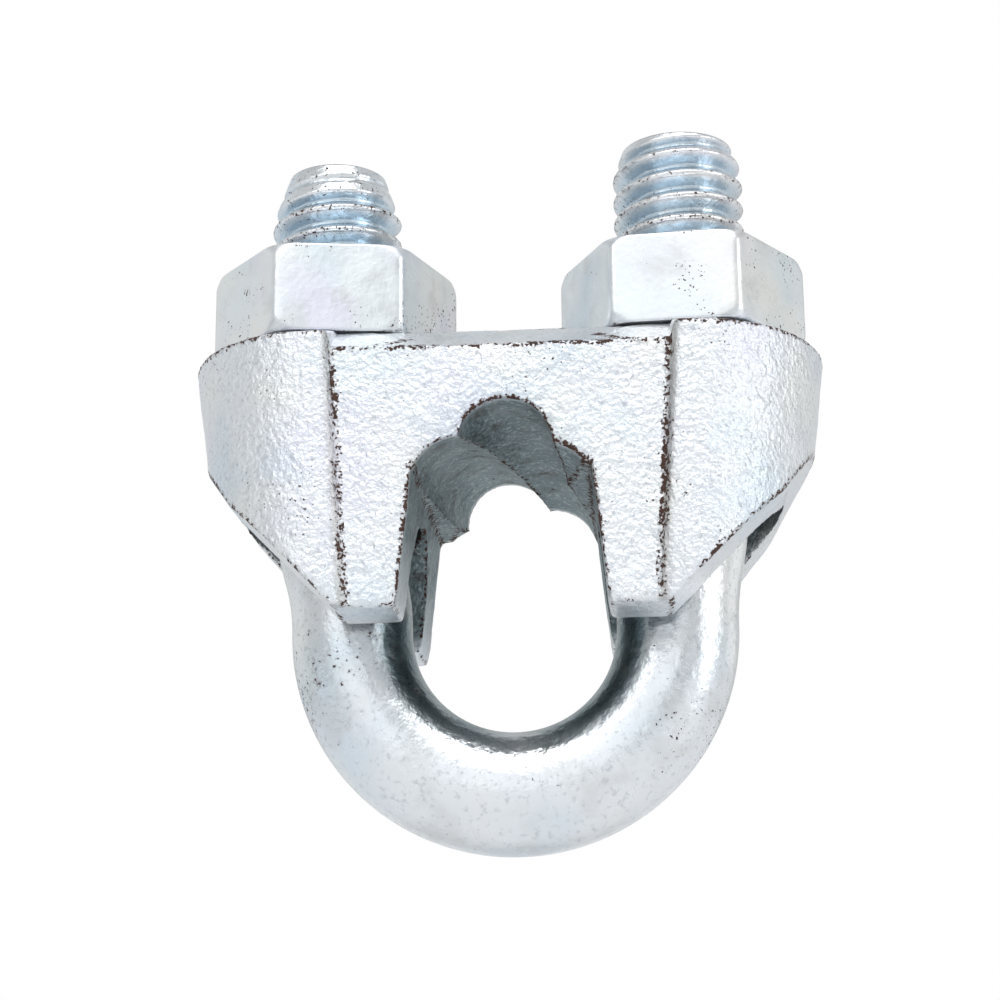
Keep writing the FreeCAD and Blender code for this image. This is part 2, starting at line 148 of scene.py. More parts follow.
# ------------------------------------------------------------------- nodes
class Wiring:
    """Short ways to add nodes to a tree and to link them."""

    def __init__(self, tree):
        self.tree = tree

    def node(self, kind, **settings):
        """A new node with some of its settings changed."""
        made = self.tree.nodes.new(kind)
        for key, value in settings.items():
            setattr(made, key, value)
        return made

    def feed(self, socket, value):
        """Links a socket to another one, or gives it a plain value."""
        if isinstance(value, bpy.types.NodeSocket):
            self.tree.links.new(value, socket)
        else:
            socket.default_value = value

    def math(self, operation, *values):
        """One sum over sockets or plain values."""
        made = self.node("ShaderNodeMath", operation=operation)
        for index, value in enumerate(values):
            self.feed(made.inputs[index], value)
        return made.outputs[0]


# ---------------------------------------------------------- geometry nodes
class Rules(Wiring):
    """A geometry node tree, with an input for each of its sizes."""

    def __init__(self, name, sizes):
        super().__init__(bpy.data.node_groups.new(name, "GeometryNodeTree"))
        face = self.tree.interface
        face.new_socket("Geometry", in_out="INPUT", socket_type="NodeSocketGeometry")
        for label, value in sizes.items():
            kind = "NodeSocketMaterial" if value is None else "NodeSocketFloat"
            socket = face.new_socket(label, in_out="INPUT", socket_type=kind)
            if value is not None:
                socket.default_value = value
        face.new_socket("Geometry", in_out="OUTPUT", socket_type="NodeSocketGeometry")
        self.inputs = self.tree.nodes.new("NodeGroupInput")
        self.outputs = self.tree.nodes.new("NodeGroupOutput")

    def size(self, label):
        """The tree's own input of that name."""
        return self.inputs.outputs[label]

    def add(self, a, b):
        return self.math("ADD", a, b)

    def sub(self, a, b):
        return self.math("SUBTRACT", a, b)

    def mul(self, a, b):
        return self.math("MULTIPLY", a, b)

    def div(self, a, b):
        return self.math("DIVIDE", a, b)

    def end(self, geometry):
        """Closes the tree: the geometry is realized and gets its material."""
        real = self.node("GeometryNodeRealizeInstances")
        self.feed(real.inputs[0], geometry)
        paint = self.node("GeometryNodeSetMaterial")
        self.feed(paint.inputs["Geometry"], real.outputs[0])
        self.feed(paint.inputs["Material"], self.size("Material"))
        self.feed(self.outputs.inputs[0], paint.outputs[0])
        return self.tree


LEAST_RADIUS = 0.01 * MM


def screw_thread_tree():
    """Cuts one V-thread into every point near an upright axis.

    Side is 1 for a thread round a bar and -1 for one inside a bore. Root is
    the groove's floor, Half Floor its half width there, and Start the height
    of a groove's middle on the +X side of the axis.
    """
    sizes = {
        "Axis X": 0.0,
        "Pitch": PITCH,
        "Side": 1.0,
        "Root": CORE,
        "Half Floor": CORE_HALF,
        "Start": 0.0,
        "First Height": 0.0,
        "Reach": THREAD_REACH,
        "Rounding": THREAD_ROUNDING,
        "Material": None,
    }
    r = Rules("Screw thread", sizes)
    position = r.node("GeometryNodeInputPosition").outputs[0]
    split = r.node("ShaderNodeSeparateXYZ")
    r.feed(split.inputs[0], position)
    x = r.sub(split.outputs["X"], r.size("Axis X"))
    y = split.outputs["Y"]
    z = split.outputs["Z"]
    radius = r.math("SQRT", r.add(r.mul(x, x), r.mul(y, y)))
    angle = r.div(r.math("ARCTAN2", y, x), 2 * math.pi)

    # how far each point lies from the middle of the nearest groove
    turns = r.sub(r.div(r.sub(z, r.size("Start")), r.size("Pitch")), angle)
    off = r.sub(r.math("FRACT", r.add(turns, 0.5)), 0.5)
    away = r.mul(r.math("ABSOLUTE", off), r.size("Pitch"))
    climb = r.div(r.math("MAXIMUM", r.sub(away, r.size("Half Floor")), 0.0), FLANK)

    # the first turn is cut less and less deep towards the thread's foot
    below = r.math("MAXIMUM", r.sub(r.size("First Height"), z), 0.0)
    floor = r.add(r.mul(r.size("Side"), r.size("Root")), r.add(climb, below))
    inner = r.mul(r.size("Side"), radius)
    cut = r.math("SMOOTH_MIN", inner, floor, r.size("Rounding"))
    wanted = r.math("ABSOLUTE", cut)
    scale = r.div(wanted, r.math("MAXIMUM", radius, LEAST_RADIUS))

    moved = r.node("ShaderNodeCombineXYZ")
    r.feed(moved.inputs["X"], r.add(r.size("Axis X"), r.mul(x, scale)))
    r.feed(moved.inputs["Y"], r.mul(y, scale))
    r.feed(moved.inputs["Z"], z)
    near = r.math("LESS_THAN", radius, r.size("Reach"))
    wide = r.math("GREATER_THAN", radius, THREAD_HEART)
    high = r.math("GREATER_THAN", z, r.sub(r.size("First Height"), PITCH))
    chosen = r.mul(r.mul(near, wide), high)

    # how deep in a groove each point lies, kept for the painted shade in the grooves
    keep = r.node("GeometryNodeStoreNamedAttribute", data_type="FLOAT", domain="POINT")
    depth = r.sub(inner, cut)
    r.feed(keep.inputs["Geometry"], r.inputs.outputs["Geometry"])
    r.feed(keep.inputs["Selection"], chosen)
    r.feed(keep.inputs["Name"], "groove")
    r.feed(keep.inputs["Value"], depth)
    shift = r.node("GeometryNodeSetPosition")
    r.feed(shift.inputs["Geometry"], keep.outputs[0])
    r.feed(shift.inputs["Selection"], chosen)
    r.feed(shift.inputs["Position"], moved.outputs[0])
    return r.end(shift.outputs[0])


# the noise averages 0.5, so these two let the skin in by half its depth on
# average; it is never let out
SKIN_GAIN = 1.6
SKIN_LOSS = 1.3


def cast_skin_tree():
    """Lets a surface in by a fine and a broad unevenness, as sand leaves it."""
    sizes = {
        "Fine Depth": 0.05 * MM,
        "Fine Size": 0.7 * MM,
        "Broad Depth": 0.12 * MM,
        "Broad Size": 4.0 * MM,
        "Material": None,
    }
    r = Rules("Cast skin", sizes)
    position = r.node("GeometryNodeInputPosition").outputs[0]
    depth = None
    for word, detail in (("Fine", 3.0), ("Broad", 1.0)):
        noise = r.node("ShaderNodeTexNoise", noise_dimensions="3D")
        r.feed(noise.inputs["Vector"], position)
        r.feed(noise.inputs["Scale"], r.div(1.0, r.size(f"{word} Size")))
        r.feed(noise.inputs["Detail"], detail)
        height = r.sub(r.mul(noise.outputs["Fac"], SKIN_GAIN), SKIN_LOSS)
        part = r.mul(r.math("MINIMUM", height, 0.0), r.size(f"{word} Depth"))
        depth = part if depth is None else r.add(depth, part)
    normal = r.node("GeometryNodeInputNormal").outputs[0]
    offset = r.node("ShaderNodeVectorMath", operation="SCALE")
    r.feed(offset.inputs[0], normal)
    r.feed(offset.inputs["Scale"], depth)
    shift = r.node("GeometryNodeSetPosition")
    r.feed(shift.inputs["Geometry"], r.inputs.outputs["Geometry"])
    r.feed(shift.inputs["Offset"], offset.outputs[0])
    return r.end(shift.outputs[0])


def add_tree(obj, tree, **values):
    """Puts a node tree on an object, with its own sizes."""
    modifier = obj.modifiers.new(tree.name, "NODES")
    modifier.node_group = tree
    for item in tree.interface.items_tree:
        key = item.name.lower().replace(" ", "_")
        if item.in_out == "INPUT" and key in values:
            modifier[item.identifier] = values[key]


# --------------------------------------------------------------- materials
class Nodes(Wiring):
    """A shader tree; place is the socket that says where a point lies."""

    def __init__(self, tree, place):
        super().__init__(tree)
        self.place = place

    def group(self, tree, **values):
        """One of the shared effects, read at this place."""
        made = self.node("ShaderNodeGroup", node_tree=tree)
        self.feed(made.inputs["Place"], self.place)
        for key, value in values.items():
            self.feed(made.inputs[key.replace("_", " ").title()], value)
        return made

    def mix(self, amount, first, second):
        """A colour between two others."""
        made = self.node("ShaderNodeMix", data_type="RGBA")
        self.feed(made.inputs["Factor"], amount)
        self.feed(made.inputs[6], first)
        self.feed(made.inputs[7], second)
        return made.outputs[2]

    def attribute(self, name):
        """A number stored on the mesh's points."""
        made = self.node("ShaderNodeAttribute", attribute_name=name)
        return made.outputs["Fac"]

    def range(self, value, low, high, first=0.0, last=1.0):
        """Runs smoothly from first to last while the value goes from low to high."""
        made = self.node("ShaderNodeMapRange", interpolation_type="SMOOTHSTEP")
        for socket, given in zip(made.inputs[:5], (value, low, high, first, last)):
            self.feed(socket, given)
        return made.outputs[0]

    def bump(self, height, distance, strength=1.0, under=None):
        """A surface's direction, disturbed by a height over another bump."""
        made = self.node("ShaderNodeBump")
        self.feed(made.inputs["Height"], height)
        self.feed(made.inputs["Distance"], distance)
        self.feed(made.inputs["Strength"], strength)
        if under is not None:
            self.feed(made.inputs["Normal"], under)
        return made.outputs[0]


class Finish(Nodes):
    """One material, with a Principled shader."""

    def __init__(self, name):
        self.material = bpy.data.materials.new(name)
        self.material.use_nodes = True
        tree = self.material.node_tree
        self.shader = tree.nodes["Principled BSDF"]
        super().__init__(tree, tree.nodes.new("ShaderNodeTexCoord").outputs["Object"])


def effect(name, inputs, outputs):
    """An empty shader group with its sockets, and its input and output nodes."""
    tree = bpy.data.node_groups.new(name, "ShaderNodeTree")
    for label, value in inputs.items():
        kind = "NodeSocketFloat"
        if value is None:
            kind = "NodeSocketVector"
        elif isinstance(value, tuple):
            kind = "NodeSocketColor"
        socket = tree.interface.new_socket(label, in_out="INPUT", socket_type=kind)
        if value is not None:
            socket.default_value = value
    for label in outputs:
        kind = "NodeSocketColor" if label == "Colour" else "NodeSocketFloat"
        tree.interface.new_socket(label, in_out="OUTPUT", socket_type=kind)
    given = tree.nodes.new("NodeGroupInput").outputs
    worker = Nodes(tree, given["Place"])
    result = tree.nodes.new("NodeGroupOutput").inputs
    return tree, worker, given, result


def noise(worker, place, scale, detail=3.0, roughness=0.5):
    """Soft noise over the object's own coordinates; scale is in lumps per metre."""
    made = worker.node("ShaderNodeTexNoise", noise_dimensions="3D")
    worker.feed(made.inputs["Vector"], place)
    worker.feed(made.inputs["Scale"], scale)
    worker.feed(made.inputs["Detail"], detail)
    worker.feed(made.inputs["Roughness"], roughness)
    return made.outputs["Fac"]


TINT_LEVELS = (0.45, 0.7)


def zinc_tint_group():
    """Zinc plating: pale metal that wanders between cold, lilac and warm."""
    inputs = {
        "Place": None,
        "Base": (0.75, 0.77, 0.8, 1.0),
        "Cold": (0.55, 0.66, 0.75, 1.0),
        "Lilac": (0.72, 0.7, 0.82, 1.0),
        "Warm": (0.85, 0.82, 0.76, 1.0),
        "Amount": 0.5,
        "Scale": 120.0,
    }
    tree, w, given, result = effect("Zinc tint", inputs, ["Colour", "Cloud"])
    colour = given["Base"]
    for index, tone in enumerate(("Cold", "Lilac", "Warm")):
        # each tone reads its own part of the noise
        shifted = w.node("ShaderNodeMapping")
        w.feed(shifted.inputs["Vector"], w.place)
        w.feed(shifted.inputs["Location"], (0.031 * index, 0.017, 0.023 * index))
        cloud = noise(w, shifted.outputs[0], given["Scale"], 2.0)
        share = w.math("MULTIPLY", w.range(cloud, *TINT_LEVELS), given["Amount"])
        colour = w.mix(share, colour, given[tone])
    w.feed(result["Colour"], colour)
    fine = noise(w, w.place, w.math("MULTIPLY", given["Scale"], 4.0), 3.0)
    w.feed(result["Cloud"], fine)
    return tree


# rust shows where its noise, which averages 0.5, is above a level; the level
# drops near an edge, and again where the broader patches are strong
CHIP_LEVEL = 0.73
CHIP_DROP = 0.25
CHIP_SOFTNESS = 0.015
CHIP_STAIN = 0.1
FLECK_FINER = 2.3
PATCH_LEVELS = (0.38, 0.58)
PATCH_LEAST = 0.77
PATCH_GAIN = 0.25
PIT_LEVEL = 0.8
PIT_DROP = 0.13
PIT_SOFTNESS = 0.03
PIT_PATCHES = (0.42, 0.65)


def rust_group():
    """Chips of rust: close along edges, and a few pits strewn elsewhere.

    Edge is 1 on an edge and 0 away from it.
    """
    inputs = {
        "Place": None,
        "Edge": 0.0,
        "Edge Cover": 1.0,
        "Pit Cover": 1.0,
        "Chip Scale": 1900.0,
        "Pit Scale": 5000.0,
        "Patch Scale": 260.0,
    }
    tree, w, given, result = effect("Rust chips", inputs, ["Mask", "Stain"])
    chips = noise(w, w.place, given["Chip Scale"], 3.0, 0.6)
    fleck_scale = w.math("MULTIPLY", given["Chip Scale"], FLECK_FINER)
    flecks = noise(w, w.place, fleck_scale, 2.0)
    dots = noise(w, w.place, given["Pit Scale"], 2.0)
    patches = noise(w, w.place, given["Patch Scale"], 2.0)
    spread = w.range(patches, *PATCH_LEVELS)
    spread = w.math("MULTIPLY_ADD", spread, PATCH_GAIN, PATCH_LEAST)
    near = w.math("MULTIPLY", given["Edge"], given["Edge Cover"])
    near = w.math("MULTIPLY", near, spread)
    mixed = w.math("MULTIPLY_ADD", flecks, 0.5, w.math("MULTIPLY", chips, 0.5))
    level = w.math("SUBTRACT", CHIP_LEVEL, w.math("MULTIPLY", near, CHIP_DROP))
    flakes = w.range(mixed, level, w.math("ADD", level, CHIP_SOFTNESS))
    pits = w.math("MULTIPLY", w.range(patches, *PIT_PATCHES), given["Pit Cover"])
    depth = w.math("SUBTRACT", PIT_LEVEL, w.math("MULTIPLY", pits, PIT_DROP))
    specks = w.range(dots, depth, w.math("ADD", depth, PIT_SOFTNESS))
    w.feed(result["Mask"], w.math("MAXIMUM", flakes, specks))
    wide = w.range(mixed, w.math("SUBTRACT", level, CHIP_STAIN), level)
    w.feed(result["Stain"], w.math("MULTIPLY", wide, near))
    return tree


LUMP_SHARE = 0.8


def rough_cast_group():
    """The small bumps and dimples of a plated sand casting, as one height."""
    inputs = {"Place": None, "Grain": 900.0, "Lumps": 350.0}
    tree, w, given, result = effect("Cast grain", inputs, ["Height"])
    grain = noise(w, w.place, given["Grain"], 3.0, 0.55)
    lumps = noise(w, w.place, given["Lumps"], 2.0, 0.5)
    lumps = w.math("MULTIPLY", lumps, LUMP_SHARE)
    w.feed(result["Height"], w.math("ADD", grain, lumps))
    return tree


ZINC = zinc_tint_group()
RUST = rust_group()
GRAIN = rough_cast_group()
RUST_DARK = (0.018, 0.009, 0.007, 1.0)
RUST_BROWN = (0.085, 0.035, 0.022, 1.0)
# painted shade in tiny pits, and on the nuts a worn grey along the bevel line
PIT_SHADE_AND_WEAR_GREY = (0.42, 0.45, 0.5, 1.0)
SMUDGE_GREY = (0.5, 0.5, 0.48, 1.0)
# painted shade along the panel's creases
CREASE_SHADE = (0.36, 0.34, 0.31, 1.0)
# painted shade on the bend's inner side
BEND_SHADE_TEAL = (0.1, 0.16, 0.18, 1.0)
# painted shade in the channel and pockets, with painted glints; the brown is stains
CHANNEL_SHADE_DARK = (0.09, 0.135, 0.15, 1.0)
CHANNEL_SHADE_PALE = (0.28, 0.34, 0.36, 1.0)
CHANNEL_PAINTED_GLINT = (0.5, 0.56, 0.58, 1.0)
CHANNEL_BROWN = (0.07, 0.05, 0.04, 1.0)
# painted shade in the thread's grooves
GROOVE_SHADE_DEEP = (0.36, 0.5, 0.62, 1.0)
GROOVE_SHADE_PALE = (0.56, 0.68, 0.76, 1.0)
NUT_ZINC = (0.76, 0.79, 0.81, 1.0)
FLOOR_GREY = (0.9, 0.9, 0.9, 1.0)
TENT_COLOUR = (0.96, 0.99, 1.0, 1.0)
WHITE = (1.0, 1.0, 1.0, 1.0)
CLOUD_LEVELS = (0.3, 0.7)
RUST_SCALE = 2600.0
RUST_STAIN = 0.35
RUST_DULLNESS = 0.45
RUST_DEPTH = 0.06 * MM
CAST_GRAIN_DEPTH = 0.16 * MM
BAR_GRAIN_DEPTH = 0.07 * MM
NUT_GRAIN_DEPTH = 0.035 * MM


def spots(f, scale, low, high, detail=3.0, roughness=0.5):
    """Soft spots: 0 below the low level of a noise and 1 above the high one."""
    return f.range(noise(f, f.place, scale, detail, roughness), low, high)


def laid(f, colour, tone, mask, share):
    """A colour with a share of a tone laid over it where the mask is 1."""
    return f.mix(f.math("MULTIPLY", mask, share), colour, tone)


def rusted(f, colour, rust, metal, rough, normal):
    """Lays the rust over a plated surface: brown, dull and a little sunk."""
    tone = f.mix(noise(f, f.place, RUST_SCALE, 2.0), RUST_DARK, RUST_BROWN)
    colour = laid(f, colour, RUST_BROWN, rust.outputs["Stain"], RUST_STAIN)
    colour = f.mix(rust.outputs["Mask"], colour, tone)
    f.feed(f.shader.inputs["Base Color"], colour)
    clean = f.math("SUBTRACT", 1.0, rust.outputs["Mask"])
    f.feed(f.shader.inputs["Metallic"], f.math("MULTIPLY", clean, metal))
    dull = f.math("MULTIPLY", rust.outputs["Mask"], RUST_DULLNESS)
    f.feed(f.shader.inputs["Roughness"], f.math("ADD", rough, dull))
    sunk = f.math("MULTIPLY", rust.outputs["Mask"], -1.0)
    f.feed(f.shader.inputs["Normal"], f.bump(sunk, RUST_DEPTH, 0.8, under=normal))
    return f.material


def casting_finish():
    """Bright rough zinc outside; rougher in the channel and pockets, with painted shade,
    painted glints and brown stains there.
    """
    f = Finish("plated casting")
    inside = f.attribute("inside")
    zinc = f.group(ZINC, amount=0.4, scale=160.0)
    # grey flecks: painted shade in the casting's tiny pits
    flecks = spots(f, scale=3400.0, low=0.54, high=0.68, roughness=0.6)
    colour = laid(f, zinc.outputs["Colour"], PIT_SHADE_AND_WEAR_GREY, flecks, share=0.5)
    # painted shade along the creases at the panel's side walls
    colour = laid(f, colour, CREASE_SHADE, f.attribute("crease"), share=0.6)
    # dull is the painted shade of the channel and pockets, with painted glints and brown
    # stains laid into it
    dull = f.mix(noise(f, f.place, scale=520.0), CHANNEL_SHADE_DARK, CHANNEL_SHADE_PALE)
    glints = spots(f, scale=3600.0, low=0.55, high=0.65, detail=2.0)
    dull = laid(f, dull, CHANNEL_PAINTED_GLINT, glints, share=0.5)
    brown = spots(f, scale=800.0, low=0.52, high=0.7)
    dull = laid(f, dull, CHANNEL_BROWN, brown, share=0.55)
    colour = laid(f, colour, dull, inside, share=0.95)
    grain = f.group(GRAIN, grain=3300.0, lumps=1100.0)
    normal = f.bump(grain.outputs["Height"], CAST_GRAIN_DEPTH, strength=1.0)
    rust = f.group(RUST, edge=f.attribute("edge"), chip_scale=2500.0)
    rough = f.range(zinc.outputs["Cloud"], *CLOUD_LEVELS, first=0.28, last=0.4)
    rough = f.math("MULTIPLY_ADD", inside, 0.2, rough)
    return rusted(f, colour, rust, metal=0.85, rough=rough, normal=normal)


def bar_finish():
    """Smooth bright zinc, with blue painted shade in the thread's grooves and dark painted
    shade inside the bend.
    """
    f = Finish("plated bar")
    groove = f.range(f.attribute("groove"), low=0.05 * MM, high=0.5 * MM)
    zinc = f.group(ZINC, amount=0.5, scale=110.0)
    # painted shade in the thread's grooves, laid in more where a groove is deeper
    groove_shade = f.mix(noise(f, f.place, scale=260.0), GROOVE_SHADE_DEEP, GROOVE_SHADE_PALE)
    colour = laid(f, zinc.outputs["Colour"], groove_shade, groove, share=0.7)
    # painted shade on the bend's inner side
    colour = laid(f, colour, BEND_SHADE_TEAL, f.attribute("inner"), share=0.85)
    # grey flecks: painted shade in the bar's tiny pits
    flecks = spots(f, scale=2600.0, low=0.54, high=0.68, roughness=0.6)
    colour = laid(f, colour, PIT_SHADE_AND_WEAR_GREY, flecks, share=0.45)
    cloudy = spots(f, scale=300.0, low=0.48, high=0.66, roughness=0.6)
    colour = laid(f, colour, SMUDGE_GREY, cloudy, share=0.3)
    grain = f.group(GRAIN, grain=1800.0, lumps=300.0)
    normal = f.bump(grain.outputs["Height"], BAR_GRAIN_DEPTH, strength=0.8)
    rust = f.group(
        RUST,
        edge=f.attribute("worn"),
        edge_cover=0.66,
        pit_cover=1.2,
        chip_scale=2600.0,
        patch_scale=140.0,
    )
    rough = f.range(zinc.outputs["Cloud"], *CLOUD_LEVELS, first=0.2, last=0.3)
    return rusted(f, colour, rust, metal=0.95, rough=rough, normal=normal)


def nut_finish():
    """Satin zinc with smudges and a few pits."""
    f = Finish("satin nut")
    edge = f.attribute("edge")
    zinc = f.group(ZINC, amount=0.6, scale=150.0, base=NUT_ZINC)
    smudge = spots(f, scale=420.0, low=0.5, high=0.72, detail=4.0, roughness=0.65)
    colour = laid(f, zinc.outputs["Colour"], SMUDGE_GREY, smudge, share=0.35)
    colour = laid(f, colour, PIT_SHADE_AND_WEAR_GREY, edge, share=0.5)
    grain = f.group(GRAIN, grain=2600.0, lumps=420.0)
    normal = f.bump(grain.outputs["Height"], NUT_GRAIN_DEPTH, strength=0.8)
    rust = f.group(
        RUST,
        edge=edge,
        edge_cover=0.35,
        pit_cover=1.25,
        chip_scale=2800.0,
        patch_scale=330.0,
    )
    rough = f.range(zinc.outputs["Cloud"], *CLOUD_LEVELS, first=0.26, last=0.4)
    return rusted(f, colour, rust, metal=0.9, rough=rough, normal=normal)


def plain_finish(name, colour, rough):
    """One even colour."""
    f = Finish(name)
    f.feed(f.shader.inputs["Base Color"], colour)
    f.feed(f.shader.inputs["Roughness"], rough)
    return f.material


# ------------------------------------------------------------------ saddle
WELD = 0.002 * MM
SHARP_ANGLE = 24
EDGE_SPACING = 0.3 * MM
SKIN_VOXEL = 0.18 * MM
SOFTEN_PASSES = 3
EDGE_PLATEAU = 1.6


def sharp_points(work):
    """Points along the edges where a mesh turns sharply."""
    work.normal_update()
    points = []
    for edge in work.edges:
        if len(edge.link_faces) != 2:
            continue
        if edge.calc_face_angle(0.0) < math.radians(SHARP_ANGLE):
            continue
        a, b = edge.verts[0].co, edge.verts[1].co
        steps = max(1, round((b - a).length / EDGE_SPACING))
        points += [a.lerp(b, i / steps) for i in range(steps + 1)]
    return points


def nearness(obj, points, reach):
    """1 at and close beside the given points, falling to 0 at the reach."""
    tree = KDTree(len(points))
    for index, point in enumerate(points):
        tree.insert(point, index)
    tree.balance()
    away = [tree.find(v.co)[2] / reach for v in obj.data.vertices]
    return [clipped(EDGE_PLATEAU * (1.0 - share)) for share in away]


def casting(node, material):
    """A casting with soft edges and a rough skin, made from the CAD solid.

    Also gives the points along the solid's sharp edges.
    """
    source = frame["nodes"][node]
    obj = bpy.data.objects.new(f"{node}_casting", source.data.copy())
    bpy.context.scene.collection.objects.link(obj)
    work = bmesh.new()
    work.from_mesh(obj.data)
    bmesh.ops.remove_doubles(work, verts=work.verts, dist=WELD)
    edges = sharp_points(work)
    work.to_mesh(obj.data)
    work.free()

    remesh = obj.modifiers.new("even skin", "REMESH")
    remesh.mode = "VOXEL"
    remesh.voxel_size = SKIN_VOXEL
    remesh.use_smooth_shade = True
    smooth = obj.modifiers.new("soft edges", "SMOOTH")
    smooth.factor = 0.5
    smooth.iterations = SOFTEN_PASSES
    add_tree(obj, cast_skin_tree(), material=material)
    return applied(obj, f"{node}_casting"), edges


# the saddle's own sizes, in mm; heights are from the rope's middle
CHANNEL_RADIUS = 5.8
CHANNEL_FADE = 0.5
MOUTH_RADIUS = 6.6
MOUTH_START = 8.4
PRONG_FOOT = -6.7
TIP_START = -5.7
TIP_PASSES = 14


def across_channel(point):
    """How far a point lies from the rope's middle line, in mm."""
    x, z = point.x / MM, point.z / MM
    return math.hypot(x, z) if z > 0 else abs(x)


def at_mouth(point):
    """Whether a point lies beside one of the channel's two open ends."""
    return across_channel(point) < MOUTH_RADIUS and abs(point.y) > MOUTH_START * MM


def round_tips(obj):
    """Rounds the prongs' feet, which the mould leaves without sharp corners."""
    work = bmesh.new()
    work.from_mesh(obj.data)
    tips = [v for v in work.verts if v.co.z < TIP_START * MM]
    every_way = {f"use_axis_{axis}": True for axis in "xyz"}
    for _ in range(TIP_PASSES):
        bmesh.ops.smooth_vert(work, verts=tips, factor=0.5, **every_way)
    work.to_mesh(obj.data)
    work.free()


# the panel's sides, as the casting leaves them: sloped walls rather than
# square steps, with painted shade along them; its top edge and the bevel
# above it run straight from one wall to the other (all in mm)
PANEL_FACE = 9.1
PANEL_TOP = 8.15
PANEL_TOP_INSET = 0.85
PANEL_FOOT_INSET = 1.97
PANEL_LINE_END = 1.0
PANEL_LINE_STEPS = 120
BEVEL_RISE = 2.05 / 3.4
BEVEL_MARGIN = 0.5
WALL_WIDTH = 0.45
WALL_RISE = 0.8
WALL_CLIMB = 2.0
WALL_MARGIN = 0.25
WALL_INSIDE = 0.3
CREASE_REACH = 0.4


def beside_panel(point):
    """How far a point lies outwards of the panel's side, in mm."""
    x, z = abs(point.x) / MM, point.z / MM
    down = (SEAT / MM - z) / (SEAT / MM - PRONG_FOOT)
    inset = PANEL_TOP_INSET + down * (PANEL_FOOT_INSET - PANEL_TOP_INSET)
    return x - (RIGHT_AXIS / MM - inset)


def straighten_bevel(obj):
    """Lowers what stands above the bevel between the panel's two side walls."""
    for v in obj.data.vertices:
        out = beside_panel(v.co)
        if out < WALL_WIDTH and v.co.z > (PANEL_TOP - BEVEL_MARGIN) * MM:
            depth = min(abs(v.co.y) / MM, PANEL_FACE)
            limit = PANEL_TOP + (PANEL_FACE - depth) * BEVEL_RISE
            limit += max(0.0, out) / WALL_WIDTH * WALL_CLIMB
            v.co.z = min(v.co.z, limit * MM)


def panel_top_line():
    """Points along the panel's top edge, front and back, for the rust."""
    reach = RIGHT_AXIS - PANEL_LINE_END * MM
    points = []
    for i in range(PANEL_LINE_STEPS + 1):
        x = reach * (2 * i / PANEL_LINE_STEPS - 1)
        for side in (-1, 1):
            points.append(Vector((x, side * PANEL_FACE * MM, PANEL_TOP * MM)))
    return points


def slope_walls(obj):
    """Slants the panel's two side walls, and marks them as creases for painted shade."""
    crease = []
    for v in obj.data.vertices:
        out = beside_panel(v.co)
        depth = abs(v.co.y) / MM
        beside = -WALL_INSIDE < out < WALL_WIDTH + WALL_MARGIN
        if not beside or depth <= PANEL_FACE - WALL_MARGIN:
            crease.append(0.0)
            continue
        limit = PANEL_FACE + WALL_RISE * max(0.0, out) / WALL_WIDTH
        v.co.y = math.copysign(min(depth, limit) * MM, v.co.y)
        crease.append(max(0.0, 1.0 - abs(out - WALL_WIDTH / 2) / CREASE_REACH))
    set_float(obj, "crease", crease)


WEAR_REACH = 0.5 * MM
MOUTH_WEAR = 1.12


def wear_edges(obj, edges):
    """Marks the edges, most of all where the rope has rubbed the channel's mouth."""
    near = nearness(obj, edges, WEAR_REACH)
    rubbed = []
    for share, v in zip(near, obj.data.vertices):
        rubbed.append(share * (MOUTH_WEAR if at_mouth(v.co) else 1.0))
    set_float(obj, "edge", rubbed)


# a leg's pocket in mm: from and to which distance from the middle, how far
# to the front and back, and how its mouth climbs outwards from the foot
POCKET_INNER = 5.3
POCKET_OUTER = 15.9
POCKET_HALF = 4.5
POCKET_BEND = 9.15
POCKET_CLIMB = 1.04
POCKET_FADE = 1.2
FACE_FADE = 0.7


def inside_share(point):
    """How far a point lies inside the rope channel or a leg's pocket, 0 to 1; this sets the
    painted shade there.
    """
    x, y, z = (abs(point.x) / MM, abs(point.y) / MM, point.z / MM)
    if z >= CHANNEL_RADIUS:
        return 0.0
    share = clipped((CHANNEL_RADIUS - across_channel(point)) / CHANNEL_FADE)
    share *= clipped((PANEL_FACE - y) / FACE_FADE)
    if POCKET_INNER < x < POCKET_OUTER and y < POCKET_HALF:
        mouth = PRONG_FOOT + max(0.0, x - POCKET_BEND) * POCKET_CLIMB
        share = max(share, clipped((z - mouth) / POCKET_FADE))
    return share


# ------------------------------------------------------------------ U-bolt
AROUND_BAR = 96
BAR_STEP = 0.35 * MM
END_SHARES = (0.02, 0.3, 0.6, 0.85)


